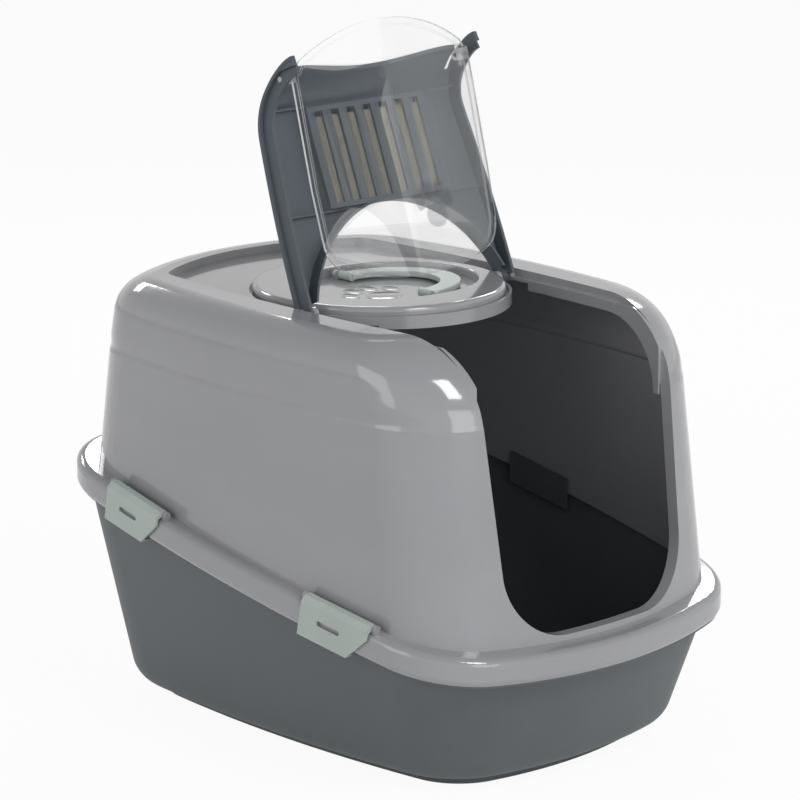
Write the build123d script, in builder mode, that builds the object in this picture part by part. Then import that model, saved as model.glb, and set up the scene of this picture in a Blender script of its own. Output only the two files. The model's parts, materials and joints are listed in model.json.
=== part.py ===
from build123d import *
from math import asin, atan, cos, degrees, hypot, radians, sin, sqrt
import os

os.makedirs("parts", exist_ok=True)

# Hooded litter box, in millimetres. +Z is up, the entrance faces -Y, and the origin is the
# centre of the footprint on the floor. The cover is modelled shut and is then swung open.

# ---- driving dimensions: rim where the tray and the hood meet ----
rim_length = 540.0          # over the hood's skirt, front to back
rim_width = 394.0           # over the hood's skirt, side to side
rim_height = 148.5          # bottom edge of the skirt, half way along the box
rim_rise = 0.186            # slope of the rim: it climbs towards the back
skirt_depth = 24.5          # from the skirt's bottom edge to the top of the hood's shoulder
shoulder_round = 6.5        # rounding at the edge of the shoulder

# ---- tray ----
tray_wall = 2.5             # thickness of the tray's walls and floor
foot_height = 8.0           # height of the recessed foot
foot_length = 409.0         # foot outline, front to back
foot_width = 256.0          # foot outline, side to side
foot_ring = 14.0            # width of the ring that the tray stands on
tray_base_length = 460.0    # body just above the foot, before its rounding
tray_base_width = 311.0
tray_base_round = 28.0      # rounding between the walls and the underside
tray_wall_inset = 12.0      # from the skirt's outside to the tray's wall, at the skirt's edge
tray_lip = 2.4              # thickness of the lip that hangs inside the skirt
tab_length = 70.0           # raised locating tabs, half way along the long sides
tab_height = 14.0           # how far a tab stands above the tray's rim
tab_offset = 2.0            # the tabs' centre, behind the middle of the box

# ---- hood ----
hood_wall = 2.5             # thickness of the hood's skin
hood_top = 375.0            # top of the raised border, half way along the box
top_rise = 0.015            # slope of the border, climbing towards the back
shoulder_width = 14.0       # from the skirt's outside to the hood's wall
top_inset = 16.0            # straight walls carried up to the top: in from the skirt's outside
top_front = 222.0           # and their front, from the middle of the box
top_back = 237.0            # and their back
side_round = 30.0           # rounding over the long sides and the back
front_round = 66.0          # rounding over the front
deck_depth = 7.0            # from the border down to the deck that carries the cover
deck_width = 251.0          # between the border's inner faces, half way along
deck_back = 198.0           # inner face of the border at the back
ledge_width = 4.5           # strip of deck left beside the top opening
lip_depth = 9.0             # lip that hangs from the edge of the opening
lip_wall = 2.0
door_width = 222.0          # front opening, at its widest, near the top
door_taper = 0.045          # narrowing of each side, per millimetre down
sill_height = 131.0         # lower edge of the front opening
sill_round = 58.0           # rounding of the front opening's lower corners

# ---- handle plate and carrying handle ----
plate_y = 21.0              # centre of the round plate
plate_radius = 108.4
plate_height = 11.5         # from the seat to the top of the plate's rim
plate_round = 4.0
collar_gap = 2.4            # between the plate and the collar around it
collar_wall = 2.6
bowl_x = 10.0               # the oval recess for the handle lies a little to the right
bowl_length = 84.0          # half of the recess, side to side
bowl_width = 71.0           # half of the recess, front to back
bowl_depth = 8.0
handle_x = 8.0              # pivot axis of the handle
handle_z = 371.3
handle_reach = 70.0         # from the pivot axis to the outside of the grip
handle_half = 57.0          # half of the handle, front to back
grip_reach = 50.0           # the same two for the inside of the handle
grip_half = 41.0
handle_thick = 5.0
knuckle_radius = 3.5
lug_gap = 0.6               # between the handle and the lugs it turns in
bracket_width = 3.0
pivot_radius = 1.8
running_clearance = 0.08    # radial play of every pivot in its hole

# ---- top cover ----
cover_lean = 21.3           # how far the open cover leans back past upright, in degrees
cover_gap = 2.2             # between the cover's edge and the hood's border
cover_lift = 0.5            # between the shut cover and the deck
cover_wall = 3.0
flange_gap = 1.1            # between the cover's side flanges and the opening's lip
flange_depth = 15.0         # depth of the cover's side flanges
hinge_y = -12.7             # hinge axis of the cover
cover_flat = 150.0          # flat stretch of the cover, from the hinge axis
bend_radii = (50.0, 82.0, 45.0)     # outside radii of the three bends at the cover's front
bend_ends = (45.0, 68.0, 86.0)      # how far the cover has turned at the end of each bend
horn_length = 0.5           # straight end of the horns that carry the door
horn_start = 198.3          # the horns thicken from here, measured from the hinge axis
cheek_inside = 103.2        # inner faces of the cheeks that hold the door
edge_below = 28.0           # middle of the cover's front edge, below the hinge axis when shut
edge_dip = 8.5              # and how much lower the edge is at the sides
edge_half = 96.5
lug_slot_start = 184.0
barrel_radius = 6.0
pin_radius = 2.5
pin_length = 4.6            # how far the hinge pins stand out of the barrels
collar_clear = 2.6          # between the collar and the round cut in the cover
cut_rim = 2.0               # thickness of the rim around the round cut
cut_rim_depth = 15.0        # and its depth
cut_rim_back = 7.5          # it ends this far in front of the hinge axis
slot_count = 7
slot_width = 9.0
slot_pitch = 18.5
filter_start = 84.0         # near end of the filter pocket, from the hinge axis
filter_end = 167.0
filter_half = 66.0          # half of the pocket, side to side
filter_thick = 6.0
filter_gap = 0.4
filter_short = 4.5          # the pad stops this far before the pocket's end
filter_wall = 2.2
pocket_floor = 9.2          # from the hinge axis down to the pocket's floor
pocket_ledge = 2.0
vent_width = 5.0
rib_depth = 8.0             # from the cover's outer surface to a rib's edge
rib_wall = 2.0

# ---- swing door ----
door_lean = 14.7            # how far the hanging door leans out at the bottom, in degrees
axis_along = 192.3          # door axis: distance from the cover's hinge, along the cover
axis_below = 31.2           # and below the hinge, when the cover is shut
sheet_half = 102.0          # half of the door's width
sheet_offset = 9.5          # from the door's axis to the edges of its sheet
sheet_bow = 13.0            # bulge of the sheet's middle
sheet_wall = 2.2
sheet_side = 95.0           # straight part of the sides, below the axis
sheet_corner = 160.0        # from the axis to the lower corners, before rounding
corner_half = 99.0
sheet_drop = 180.0          # from the axis to the lowest point
sheet_crown = 38.0          # from the axis to the top of the arch
shoulder_half = 93.0        # half of the arch's width
shoulder_rise = 12.0        # and the height of its ends above the axis
sheet_round = 28.0
bead_inset = 5.0
bead_width = 1.6
bead_height = 0.8
lug_inside = 97.0
lug_radius = 5.0
door_pin_radius = 2.0

# ---- clips ----
clip_spread = 125.0         # clips stand this far in front of and behind the middle
clip_width = 72.0           # along the rim, at the hinge
clip_foot = 54.0            # and at the hook
clip_thick = 2.4
clip_gap = 0.5              # between a clip and the skirt
hook_reach = 4.6            # how far the hook reaches in under the skirt
hook_top = -1.3             # top of the hook, measured from the skirt's edge
clip_axis_in = 6.0          # hinge axis of a clip, in from the skirt's outside
clip_axis_up = 28.0         # and up from the skirt's edge
clip_barrel = 3.0
clip_pin = 1.5
clip_slot = 25.0
clip_slot_width = 4.4
slant_top = 18.0            # the clip's front edge slants from here down to the hook
lug_width = 4.0

slope_scale = hypot(1, rim_rise)
top_tilt = degrees(atan(top_rise))


def rim_z(y, above=0.0):
    """Height of the rim at y, so far above the skirt's bottom edge."""
    return rim_height + rim_rise * y + above


def deck_z(y, above=0.0):
    """Height of the deck at y, so far above the deck."""
    return hood_top - deck_depth + top_rise * y + above


def sloped_plane(z, rise):
    """Plane through (0, 0, z) that climbs towards the back."""
    return Plane(origin=(0, 0, z), x_dir=(1, 0, 0), z_dir=(0, -rise, 1))


def corner_arc(half, end, side_r, end_r, corner_r):
    """Start, middle and end of the arc that joins a long side to an end, for +X and +Y."""
    side_x = half - side_r
    end_y = end - end_r
    to_side = side_r - corner_r
    to_end = end_r - corner_r
    apart = hypot(side_x, end_y)
    along = (to_side**2 - to_end**2 + apart**2) / (2 * apart)
    across = sqrt(to_side**2 - along**2)
    unit_x = -side_x / apart
    unit_y = end_y / apart
    centre = Vector(side_x + unit_x * along - unit_y * across, unit_y * along + unit_x * across)
    side_dir = (centre - Vector(side_x, 0)).normalized()
    end_dir = (centre - Vector(0, end_y)).normalized()
    mid_dir = (side_dir + end_dir).normalized()
    return centre + side_dir * corner_r, centre + mid_dir * corner_r, centre + end_dir * corner_r


def outline(half, front, back, side_r, front_r, back_r, corner_r):
    """Draws the box's plan outline: bowed sides and ends with round corners."""
    s1, m1, e1 = corner_arc(half, back, side_r, back_r, corner_r)
    s2, m2, e2 = corner_arc(half, front, side_r, front_r, corner_r)
    for side in (1, -1):
        ThreePointArc((side * s2.X, -s2.Y), (side * half, 0), (side * s1.X, s1.Y))
        ThreePointArc((side * s1.X, s1.Y), (side * m1.X, m1.Y), (side * e1.X, e1.Y))
        ThreePointArc((side * s2.X, -s2.Y), (side * m2.X, -m2.Y), (side * e2.X, -e2.Y))
    ThreePointArc((e1.X, e1.Y), (0, back), (-e1.X, e1.Y))
    ThreePointArc((e2.X, -e2.Y), (0, -front), (-e2.X, -e2.Y))


def rim_outline(inset, stretch=1.0):
    """Draws the skirt's outline moved in by inset."""
    half = rim_width / 2 - inset
    end = (rim_length / 2 - inset) * stretch
    outline(half, end, end, 1517 - inset, 436 - inset, 553 - inset, 84 - inset)


def rim_slab(low, high):
    """All the space between two heights above the skirt's edge, measured along the rim."""
    reach = rim_length
    with BuildPart() as slab:
        with BuildSketch(Plane.YZ):
            with BuildLine():
                Polyline((-reach, rim_z(-reach, low)), (reach, rim_z(reach, low)),
                         (reach, rim_z(reach, high)), (-reach, rim_z(-reach, high)), close=True)
            make_face()
        extrude(amount=rim_width, both=True)
    return slab.part


def rim_ring(outer_inset, inner_inset, low, high):
    """Ring that follows the rim, between two insets and two heights."""
    with BuildPart() as ring:
        with BuildSketch():
            with BuildLine():
                rim_outline(outer_inset)
            make_face()
            with BuildSketch(mode=Mode.PRIVATE) as hole:
                with BuildLine():
                    rim_outline(inner_inset)
                make_face()
            add(hole.sketch, mode=Mode.SUBTRACT)
        extrude(amount=hood_top)
        add(rim_slab(low, high), mode=Mode.INTERSECT)
    return ring.part


# ================= tray =================
tray_top = skirt_depth - hood_wall      # the tray's rim meets the underside of the shoulder
foot_shape = (1250, 342, 390, 51)


def tray_form(wall):
    """Outside of the tray's body, or its cavity when wall is the wall's thickness."""
    half = tray_base_width / 2 - wall
    end = tray_base_length / 2 - wall
    top_inset = tray_wall_inset - 5.0 + wall
    with BuildPart() as form:
        with BuildSketch(Plane.XY.offset(foot_height + wall)):
            with BuildLine():
                outline(half, end, end, 1300 - wall, 380 - wall, 420 - wall, 78 - wall)
            make_face()
        with BuildSketch(sloped_plane(rim_height + tray_top, rim_rise)):
            with BuildLine():
                rim_outline(top_inset, slope_scale)
            make_face()
        loft(ruled=True)
        fillet(form.faces().sort_by(Axis.Z)[0].edges(), tray_base_round - wall)
    return form.part


with BuildPart() as foot:
    with BuildSketch():
        with BuildLine():
            outline(foot_width / 2, foot_length / 2, foot_length / 2, *foot_shape)
        make_face()
    extrude(amount=foot_height + tray_wall / 2)
    with BuildSketch():
        with BuildLine():
            inner = [r - foot_ring for r in foot_shape]
            outline(foot_width / 2 - foot_ring, foot_length / 2 - foot_ring,
                    foot_length / 2 - foot_ring, *inner)
        make_face()
    extrude(amount=foot_height, mode=Mode.SUBTRACT)

hood_wall_x = rim_width / 2 - shoulder_width - hood_wall
tab_x = hood_wall_x - 1.0               # outer face of the locating tabs
tab_wall = 2.2

with BuildPart() as tray:
    add(tray_form(0))
    add(foot.part)
    add(tray_form(tray_wall), mode=Mode.SUBTRACT)
    lip_inset = hood_wall + 0.4
    add(rim_ring(lip_inset, lip_inset + tray_lip, 0.4, tray_top))
    add(rim_ring(lip_inset, tray_wall_inset - 3.0, tray_top - 2.0, tray_top))
    for side in (1, -1):
        with BuildSketch(Plane.YZ.offset(side * tab_x)):
            with BuildLine():
                ends = [tab_offset - tab_length / 2, tab_offset + tab_length / 2]
                low = 8.0
                high = tray_top + tab_height
                Polyline((ends[0], rim_z(ends[0], low)), (ends[1], rim_z(ends[1], low)),
                         (ends[1], rim_z(ends[1], high)), (ends[0], rim_z(ends[0], high)),
                         close=True)
            make_face()
            fillet(vertices().group_by(Axis.Y)[-1] + vertices().group_by(Axis.Y)[0], 1.0)
        extrude(amount=-side * tab_wall)
        with BuildSketch(Plane.YZ.offset(side * (tab_x - tab_wall))):
            with BuildLine():
                Polyline((ends[0], rim_z(ends[0], low)), (ends[1], rim_z(ends[1], low)),
                         (ends[1], rim_z(ends[1], low + 2.2)),
                         (ends[0], rim_z(ends[0], low + 2.2)), close=True)
            make_face()
        extrude(amount=side * 9.5)
tray.part.label = "tray"
export_step(tray.part, "parts/tray.step")


# ================= hood =================
def top_round(below, radius):
    """How far a quarter-round has moved in, so far below the top."""
    if below >= radius:
        return 0.0
    return radius - sqrt(radius**2 - (radius - below)**2)


def blend(low, high, share):
    return low + (high - low) * share


def hood_section(wall, z):
    """Plan section of the hood at height z, moved in by the skin's thickness."""
    base_z = 95.0
    base_half = rim_width / 2 - shoulder_width + 2.0
    base_front = rim_length / 2 - shoulder_width + 1.6
    base_back = rim_length / 2 - shoulder_width + 8.0
    share = (z + wall - base_z) / (hood_top - base_z)
    depth = hood_top - wall - z
    side_in = wall + top_round(depth, side_round - wall)
    front_in = wall + top_round(depth, front_round - wall)
    with BuildSketch(sloped_plane(z, top_rise), mode=Mode.PRIVATE) as section:
        with BuildLine():
            outline(blend(base_half, rim_width / 2 - top_inset, share) - side_in,
                    blend(base_front, top_front, share) - front_in,
                    blend(base_back, top_back, share) - side_in,
                    blend(1500, 850, share) - side_in,
                    blend(421, 400, share) - side_in,
                    blend(538, 265, share) - side_in,
                    blend(72, 75, share) - side_in)
        make_face()
    return section.sketch


def hood_form(wall):
    """Outside of the hood above the rim, or its cavity when wall is the skin's thickness."""
    top = hood_top - wall
    round_steps = (1.0, 0.8, 0.6, 0.45, 0.33, 0.22, 0.13, 0.06, 0.02, 0.0)
    with BuildPart() as form:
        loft(sections=[hood_section(wall, 95.0),
                       hood_section(wall, top - front_round)], ruled=True)
        loft(sections=[hood_section(wall, top - front_round * step) for step in round_steps])
    return form.part


def deck_outline(inset):
    """Draws the recess for the cover: open past the front, round at the back."""
    outline(deck_width / 2 - inset, rim_length / 2, deck_back - inset,
            1500 - inset, 400, 213 - inset, 18 - inset)


def deck_block(inset, low, high):
    """Upright block with the recess's outline, between two heights above the deck."""
    reach = rim_length
    with BuildPart() as block:
        with BuildSketch():
            with BuildLine():
                deck_outline(inset)
            make_face()
        extrude(amount=2 * hood_top)
        with BuildSketch(Plane.YZ):
            with BuildLine():
                Polyline((-reach, deck_z(-reach, low)), (reach, deck_z(reach, low)),
                         (reach, deck_z(reach, high)), (-reach, deck_z(-reach, high)), close=True)
            make_face()
        extrude(amount=rim_width, both=True, mode=Mode.INTERSECT)
    return block.part


def disc(radius, low, high, x=0.0, y=None):
    """Upright cylinder on the plate's centre, between two heights above the deck."""
    centre_y = plate_y if y is None else y
    with BuildPart() as cylinder:
        with BuildSketch(Plane.XY.offset(deck_z(plate_y, low))):
            with Locations((x, centre_y)):
                Circle(radius)
        extrude(amount=high - low)
    return cylinder.part


def door_block(grow, front_y, back_y):
    """Block with the front opening's outline, grown outwards, running along the box."""
    top = hood_top + 40
    wide = door_width / 2 + grow
    upright = 330.0 - (sill_height + sill_round)
    with BuildPart() as block:
        with BuildSketch(Plane.XZ.offset(-front_y)) as profile:
            with BuildLine():
                low_half = wide - door_taper * (330.0 - sill_height + grow)
                Polyline((-low_half, sill_height - grow), (low_half, sill_height - grow),
                         (wide, 330.0), (wide, top), (-wide, top), (-wide, 330.0), close=True)
            make_face()
            fillet(profile.vertices().group_by(Axis.Y)[0], sill_round + grow)
        extrude(amount=front_y - back_y)
    return block.part


opening_back = -41.0                    # rear edge of the top opening
slot_back = hinge_y + barrel_radius + 6.0
leg_inside = 110.9                      # inner faces of the cover's legs
collar_inner = plate_radius + collar_gap
collar_outer = collar_inner + collar_wall
deck_skin = deck_depth + hood_wall
flange_inset = ledge_width + flange_gap # from the border to the cover's side flanges
leg_outside = deck_width / 2 - flange_inset
hinge_z = deck_z(hinge_y, cover_lift)
ear_radius = barrel_radius - 0.5
ear_gap = 0.5


def side_box(x_low, x_high, y_low, y_high, z_low, z_high):
    """Pair of boxes, mirrored left and right."""
    with BuildPart() as pair:
        with Locations(((x_low + x_high) / 2, (y_low + y_high) / 2, (z_low + z_high) / 2),
                       (-(x_low + x_high) / 2, (y_low + y_high) / 2, (z_low + z_high) / 2)):
            Box(x_high - x_low, y_high - y_low, z_high - z_low)
    return pair.part


def side_axle(radius, near, far, y, z):
    """Pair of cylinders along X, mirrored left and right."""
    with BuildPart() as pair:
        with Locations(((near + far) / 2, y, z), (-(near + far) / 2, y, z)):
            Cylinder(radius, far - near, rotation=(0, 90, 0))
    return pair.part


def clip_frame(side, end):
    """Place on the skirt's edge, outward direction and the rim's direction for a clip."""
    side_r = 1517.0
    turned = asin(clip_spread / side_r)
    out = Vector(side * cos(turned), end * sin(turned), 0)
    place = out * side_r - Vector(side * (side_r - rim_width / 2), 0, 0)
    place = Vector(place.X, place.Y, rim_z(place.Y))
    rim_dir = Vector(-side * end * sin(turned), cos(turned), rim_rise * cos(turned)).normalized()
    return place, out, rim_dir


def clip_plane(side, end, along):
    """Section plane across a clip: x points outwards and y up from the skirt's edge."""
    place, out, rim_dir = clip_frame(side, end)
    across = rim_dir * -side
    return Plane(origin=place + across * along, x_dir=out, z_dir=across)


def clip_face(side, end):
    """Plane of a clip's outside: x runs along the rim, backwards on the right side, and y up."""
    place, out, rim_dir = clip_frame(side, end)
    outside = place + out * (clip_gap + clip_thick + 1.0)
    return Plane(origin=outside, x_dir=rim_dir * side, z_dir=out)


def opening_block(grow, low, high):
    """Top opening, grown outwards, between two heights above the deck."""
    with BuildPart() as block:
        add(deck_block(ledge_width - grow, low, high))
        with BuildSketch():
            with Locations((0, opening_back + grow)):
                Rectangle(rim_width, rim_length, align=(Align.CENTER, Align.MIN))
        extrude(amount=2 * hood_top, mode=Mode.SUBTRACT)
        add(disc(collar_outer - grow, low - 10, high + 10), mode=Mode.SUBTRACT)
    return block.part


cavity = hood_form(hood_wall)
deck_core = hood_form(deck_depth)
under_deck = hood_form(deck_skin)
lip_core = hood_form(deck_depth + lip_depth)
recess_low = -68.0
recess_high = 60.0

with BuildPart() as border_wall:
    add(hood_form(0))
    add(under_deck, mode=Mode.SUBTRACT)
    add(deck_block(-hood_wall, recess_low, recess_high), mode=Mode.INTERSECT)
    add(deck_block(0, recess_low - 1, recess_high + 1), mode=Mode.SUBTRACT)

with BuildPart() as deck:
    add(deck_core)
    add(under_deck, mode=Mode.SUBTRACT)
    add(deck_block(-hood_wall / 2, recess_low, recess_high), mode=Mode.INTERSECT)

with BuildPart() as lip:
    add(deck_core)
    add(lip_core, mode=Mode.SUBTRACT)
    add(opening_block(lip_wall, recess_low, recess_high), mode=Mode.INTERSECT)

with BuildPart() as door_return:
    add(hood_form(0))
    add(under_deck, mode=Mode.SUBTRACT)
    add(door_block(hood_wall, -rim_length / 2, -rim_length / 4), mode=Mode.INTERSECT)
    add(rim_slab(skirt_depth - hood_wall, hood_top), mode=Mode.INTERSECT)
    add(deck_block(0, 0, recess_high), mode=Mode.SUBTRACT)

with BuildPart() as shoulder:
    add(rim_ring(0, 2 * shoulder_width, 0, skirt_depth))
    outer_top = shoulder.faces().sort_by(Axis.Z)[-1].outer_wire().edges()
    fillet(outer_top, shoulder_round)
    add(rim_ring(hood_wall, 3 * shoulder_width, -1, skirt_depth - hood_wall), mode=Mode.SUBTRACT)
    add(cavity, mode=Mode.SUBTRACT)

with BuildPart() as hood:
    add(hood_form(0))
    add(cavity, mode=Mode.SUBTRACT)
    add(rim_slab(skirt_depth - hood_wall, 2 * hood_top), mode=Mode.INTERSECT)
    add(shoulder.part)
    add(deck_block(0, recess_low, recess_high), mode=Mode.SUBTRACT)
    add(border_wall.part)
    add(door_return.part)
    add(deck.part)
    add(lip.part)
    add(opening_block(0, recess_low - 20, recess_high), mode=Mode.SUBTRACT)
    add(door_block(0, -rim_length / 2 - 10, -204.0), mode=Mode.SUBTRACT)
    # room beside the round seat for the rim of the cover's round cut
    add(side_box(leg_inside * 0.7, leg_inside - ear_gap, opening_back - 20,
                 hinge_y - cut_rim_back + 0.7, hinge_z - 40, hinge_z + 20), mode=Mode.SUBTRACT)
    # round seat for the handle plate
    add(disc(collar_outer, -deck_depth, 0))
    add(disc(collar_inner, hood_wall - deck_depth, 40), mode=Mode.SUBTRACT)
    # slots that the cover's legs turn in, with an ear on each side of each leg
    add(side_box(leg_inside - ear_gap, leg_outside + ear_gap, opening_back - 20, slot_back,
                 hinge_z - 40, hinge_z + 20), mode=Mode.SUBTRACT)
    for near, far in ((leg_inside - ear_gap - 5.0, leg_inside - ear_gap),
                      (leg_outside + ear_gap, deck_width / 2 + 0.5)):
        add(side_axle(ear_radius, near, far, hinge_y, hinge_z))
    add(side_axle(pin_radius + running_clearance, leg_inside - 7.0, leg_outside + 5.0,
                  hinge_y, hinge_z), mode=Mode.SUBTRACT)
    # lugs that the clips turn in
    for side in (1, -1):
        for end in (1, -1):
            for edge in (1, -1):
                near = clip_width / 2 + 0.4
                with BuildSketch(clip_plane(side, end, edge * near)):
                    with Locations((-clip_axis_in, clip_axis_up)):
                        Circle(clip_barrel)
                        Rectangle(2 * clip_barrel, clip_axis_up - skirt_depth + 1.0,
                                  align=(Align.CENTER, Align.MAX))
                extrude(amount=edge * lug_width)
            bore = clip_width / 2 + 3.4
            with BuildSketch(clip_plane(side, end, -bore)):
                with Locations((-clip_axis_in, clip_axis_up)):
                    Circle(clip_pin + running_clearance)
            extrude(amount=2 * bore, mode=Mode.SUBTRACT)
hood.part.label = "hood"
export_step(hood.part, "parts/hood.step")


# ================= handle plate =================
plate_low = deck_z(plate_y, hood_wall - deck_depth)
plate_top = plate_low + plate_height
bowl_floor = plate_top - bowl_depth
bracket_near = handle_half + lug_gap
handle_y = plate_y - 0.5

with BuildPart() as handle_plate:
    with BuildSketch(Plane.XY.offset(plate_low)):
        with Locations((0, plate_y)):
            Circle(plate_radius)
    extrude(amount=plate_height)
    fillet(handle_plate.faces().sort_by(Axis.Z)[-1].edges(), plate_round)
    with BuildSketch(Plane.XY.offset(bowl_floor)):
        with Locations((bowl_x, plate_y)):
            Ellipse(bowl_length, bowl_width)
    extrude(amount=plate_height, mode=Mode.SUBTRACT)
    bowl_edges = handle_plate.faces().sort_by(Axis.Z)[-1].edges().sort_by(SortBy.LENGTH)
    fillet(bowl_edges[0], 2.0)
    with BuildSketch(Plane.XY.offset(plate_low)):
        with Locations((0, plate_y)):
            Circle(plate_radius - 2.5)
            Circle(bowl_length + bowl_x + 3.0, mode=Mode.SUBTRACT)
    extrude(amount=plate_height - plate_round - 1.0, mode=Mode.SUBTRACT)
    for end in (1, -1):
        with BuildSketch(Plane.XZ.offset(-handle_y - end * bracket_near)):
            with Locations((handle_x, handle_z)):
                Circle(knuckle_radius)
                Rectangle(2 * knuckle_radius, handle_z - bowl_floor + 1.0,
                          align=(Align.CENTER, Align.MAX))
        extrude(amount=-end * bracket_width)
    with BuildSketch(Plane.XZ.offset(-handle_y - bracket_near - bracket_width - 1.0)):
        with Locations((handle_x, handle_z)):
            Circle(pivot_radius + running_clearance)
    extrude(amount=2 * (bracket_near + bracket_width + 1.0), mode=Mode.SUBTRACT)
handle_plate.part.label = "handle_plate"
export_step(handle_plate.part, "parts/handle_plate.step")

# ================= carrying handle =================
head_near = bracket_near + bracket_width + lug_gap

with BuildPart() as carry_handle:
    with BuildSketch(Plane.XY.offset(handle_z - handle_thick / 2)):
        with Locations((handle_x, handle_y)):
            Ellipse(handle_reach, handle_half)
            Ellipse(grip_reach, grip_half, mode=Mode.SUBTRACT)
        with Locations((handle_x, handle_y)):
            Rectangle(rim_width, rim_width, align=(Align.MAX, Align.CENTER), mode=Mode.SUBTRACT)
    extrude(amount=handle_thick)
    fillet(carry_handle.edges().filter_by(GeomType.ELLIPSE), 1.2)
    for end in (1, -1):
        with BuildSketch(Plane.XZ.offset(-handle_y - end * (grip_half + 1.0))):
            with Locations((handle_x, handle_z)):
                Circle(knuckle_radius)
        extrude(amount=-end * (handle_half - grip_half - 1.0))
        with BuildSketch(Plane.XZ.offset(-handle_y - end * (handle_half - 2.0))):
            with Locations((handle_x, handle_z)):
                Circle(pivot_radius)
        extrude(amount=-end * (head_near - handle_half + 3.0))
        with BuildSketch(Plane.XZ.offset(-handle_y - end * head_near)):
            with Locations((handle_x, handle_z)):
                Circle(knuckle_radius)
        extrude(amount=-end * bracket_width)
carry_handle.part.label = "carry_handle"
export_step(carry_handle.part, "parts/carry_handle.step")


# ================= top cover =================
shut_plane = Plane(origin=(0, hinge_y, hinge_z), x_dir=(0, -1, -top_rise), z_dir=(1, 0, 0))
hinge_axis = Axis((0, hinge_y, hinge_z), (1, 0, 0))
open_angle = 180.0 + top_tilt - (90.0 - cover_lean)


def cover_path(depth):
    """Points along the cover's profile, so far in from its outer surface."""
    along = cover_flat
    below = bend_radii[0] - cover_wall
    points = [(0.0, depth - cover_wall), (along, depth - cover_wall)]
    turned = 0.0
    for place, radius in enumerate(bend_radii):
        for angle in ((turned + bend_ends[place]) / 2, bend_ends[place]):
            sine = sin(radians(angle))
            cosine = cos(radians(angle))
            points.append((along + sine * (radius - depth), below - cosine * (radius - depth)))
        turned = bend_ends[place]
        if place + 1 < len(bend_radii):
            along += sine * (radius - bend_radii[place + 1])
            below -= cosine * (radius - bend_radii[place + 1])
    points.append((points[-1][0] + cosine * horn_length, points[-1][1] + sine * horn_length))
    return points


def cover_band(outer, inner):
    """Layer of the cover between two depths below its outer surface, over the full width."""
    with BuildPart() as band:
        with BuildSketch(shut_plane):
            with BuildLine():
                ends = []
                for depth in (outer, inner):
                    p = cover_path(depth)
                    Line(p[0], p[1])
                    for start in (1, 3, 5):
                        ThreePointArc(p[start], p[start + 1], p[start + 2])
                    Line(p[7], p[8])
                    ends.append((p[0], p[8]))
                Line(ends[0][0], ends[1][0])
                Line(ends[0][1], ends[1][1])
            make_face()
        extrude(amount=rim_width / 2, both=True)
    return band.part


def cover_block(inset, low=0.6, high=1.1):
    """Upright block as wide as the recess at each point, moved in by inset."""
    side_r = 1500.0 - inset
    side_x = deck_width / 2 - inset - side_r
    right = [(side_x + sqrt(side_r**2 - y**2), y) for y in (-300, -200, -100, 0, 100)]
    left = [(-x, y) for x, y in right]
    with BuildPart() as block:
        with BuildSketch(Plane.XY.offset(low * hood_top)):
            with BuildLine():
                Spline(*right)
                Spline(*left)
                Line(right[0], left[0])
                Line(right[-1], left[-1])
            make_face()
        extrude(amount=(high - low) * hood_top)
    return block.part


def cover_box(half, near, far, high, low):
    """Box across the shut cover, between two distances along it and two depths."""
    with BuildPart() as block:
        with BuildSketch(shut_plane):
            Polygon((near, high), (far, high), (far, low), (near, low), align=None)
        extrude(amount=half, both=True)
    return block.part


with BuildPart() as cover_flanges:
    add(cover_band(1.0, flange_depth))
    add(cover_block(flange_inset), mode=Mode.INTERSECT)
    add(cover_block(flange_inset + cover_wall, 0.5, 1.2), mode=Mode.SUBTRACT)
    add(cover_box(cheek_inside, lug_slot_start - 6.0, rim_width, -20, 100), mode=Mode.SUBTRACT)

with BuildPart() as cover_horns:
    add(cover_band(1.0, flange_depth))
    add(cover_block(cover_gap + 0.3), mode=Mode.INTERSECT)
    add(cover_box(rim_width, horn_start, rim_width, -20, 80), mode=Mode.INTERSECT)
    add(cover_box(cheek_inside + 0.1, 0, rim_width, -20, 80), mode=Mode.SUBTRACT)

with BuildPart() as cover_pocket:
    pocket_high = pocket_floor + filter_wall
    add(cover_box(filter_half + filter_wall, filter_start - filter_wall,
                  filter_end + filter_wall, -cover_wall, pocket_high))
    add(cover_band(cover_wall - 1.0, flange_depth), mode=Mode.INTERSECT)
    add(cover_box(filter_half, filter_start, filter_end, -10, pocket_floor), mode=Mode.SUBTRACT)

with BuildPart() as pocket_rest:
    add(cover_box(filter_half + 1.0, filter_start - 1.0, filter_end + 1.0, -10, 20))
    add(cover_band(filter_wall + 0.1, filter_wall + 1.6), mode=Mode.INTERSECT)
    add(cover_box(filter_half - pocket_ledge, filter_start + pocket_ledge,
                  filter_end - pocket_ledge, -10, 20), mode=Mode.SUBTRACT)

with BuildPart() as cover_ribs:
    for near in (filter_start - filter_wall - rib_wall, filter_end + filter_wall):
        add(cover_box(rim_width, near, near + rib_wall, -10, 30))
    add(cover_band(cover_wall - 1.0, rib_depth), mode=Mode.INTERSECT)
    add(cover_block(flange_inset + 1.0), mode=Mode.INTERSECT)

with BuildPart() as cut_rim_ring:
    add(disc(collar_outer + collar_clear + cut_rim, -40, 40))
    add(disc(collar_outer + collar_clear, -45, 45), mode=Mode.SUBTRACT)
    add(cover_band(1.0, cut_rim_depth), mode=Mode.INTERSECT)
    add(cover_block(flange_inset + 1.0), mode=Mode.INTERSECT)
    with BuildSketch():
        with Locations((0, hinge_y - cut_rim_back)):
            Rectangle(rim_width, rim_length, align=(Align.CENTER, Align.MAX))
    extrude(amount=2 * hood_top, mode=Mode.INTERSECT)

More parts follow.
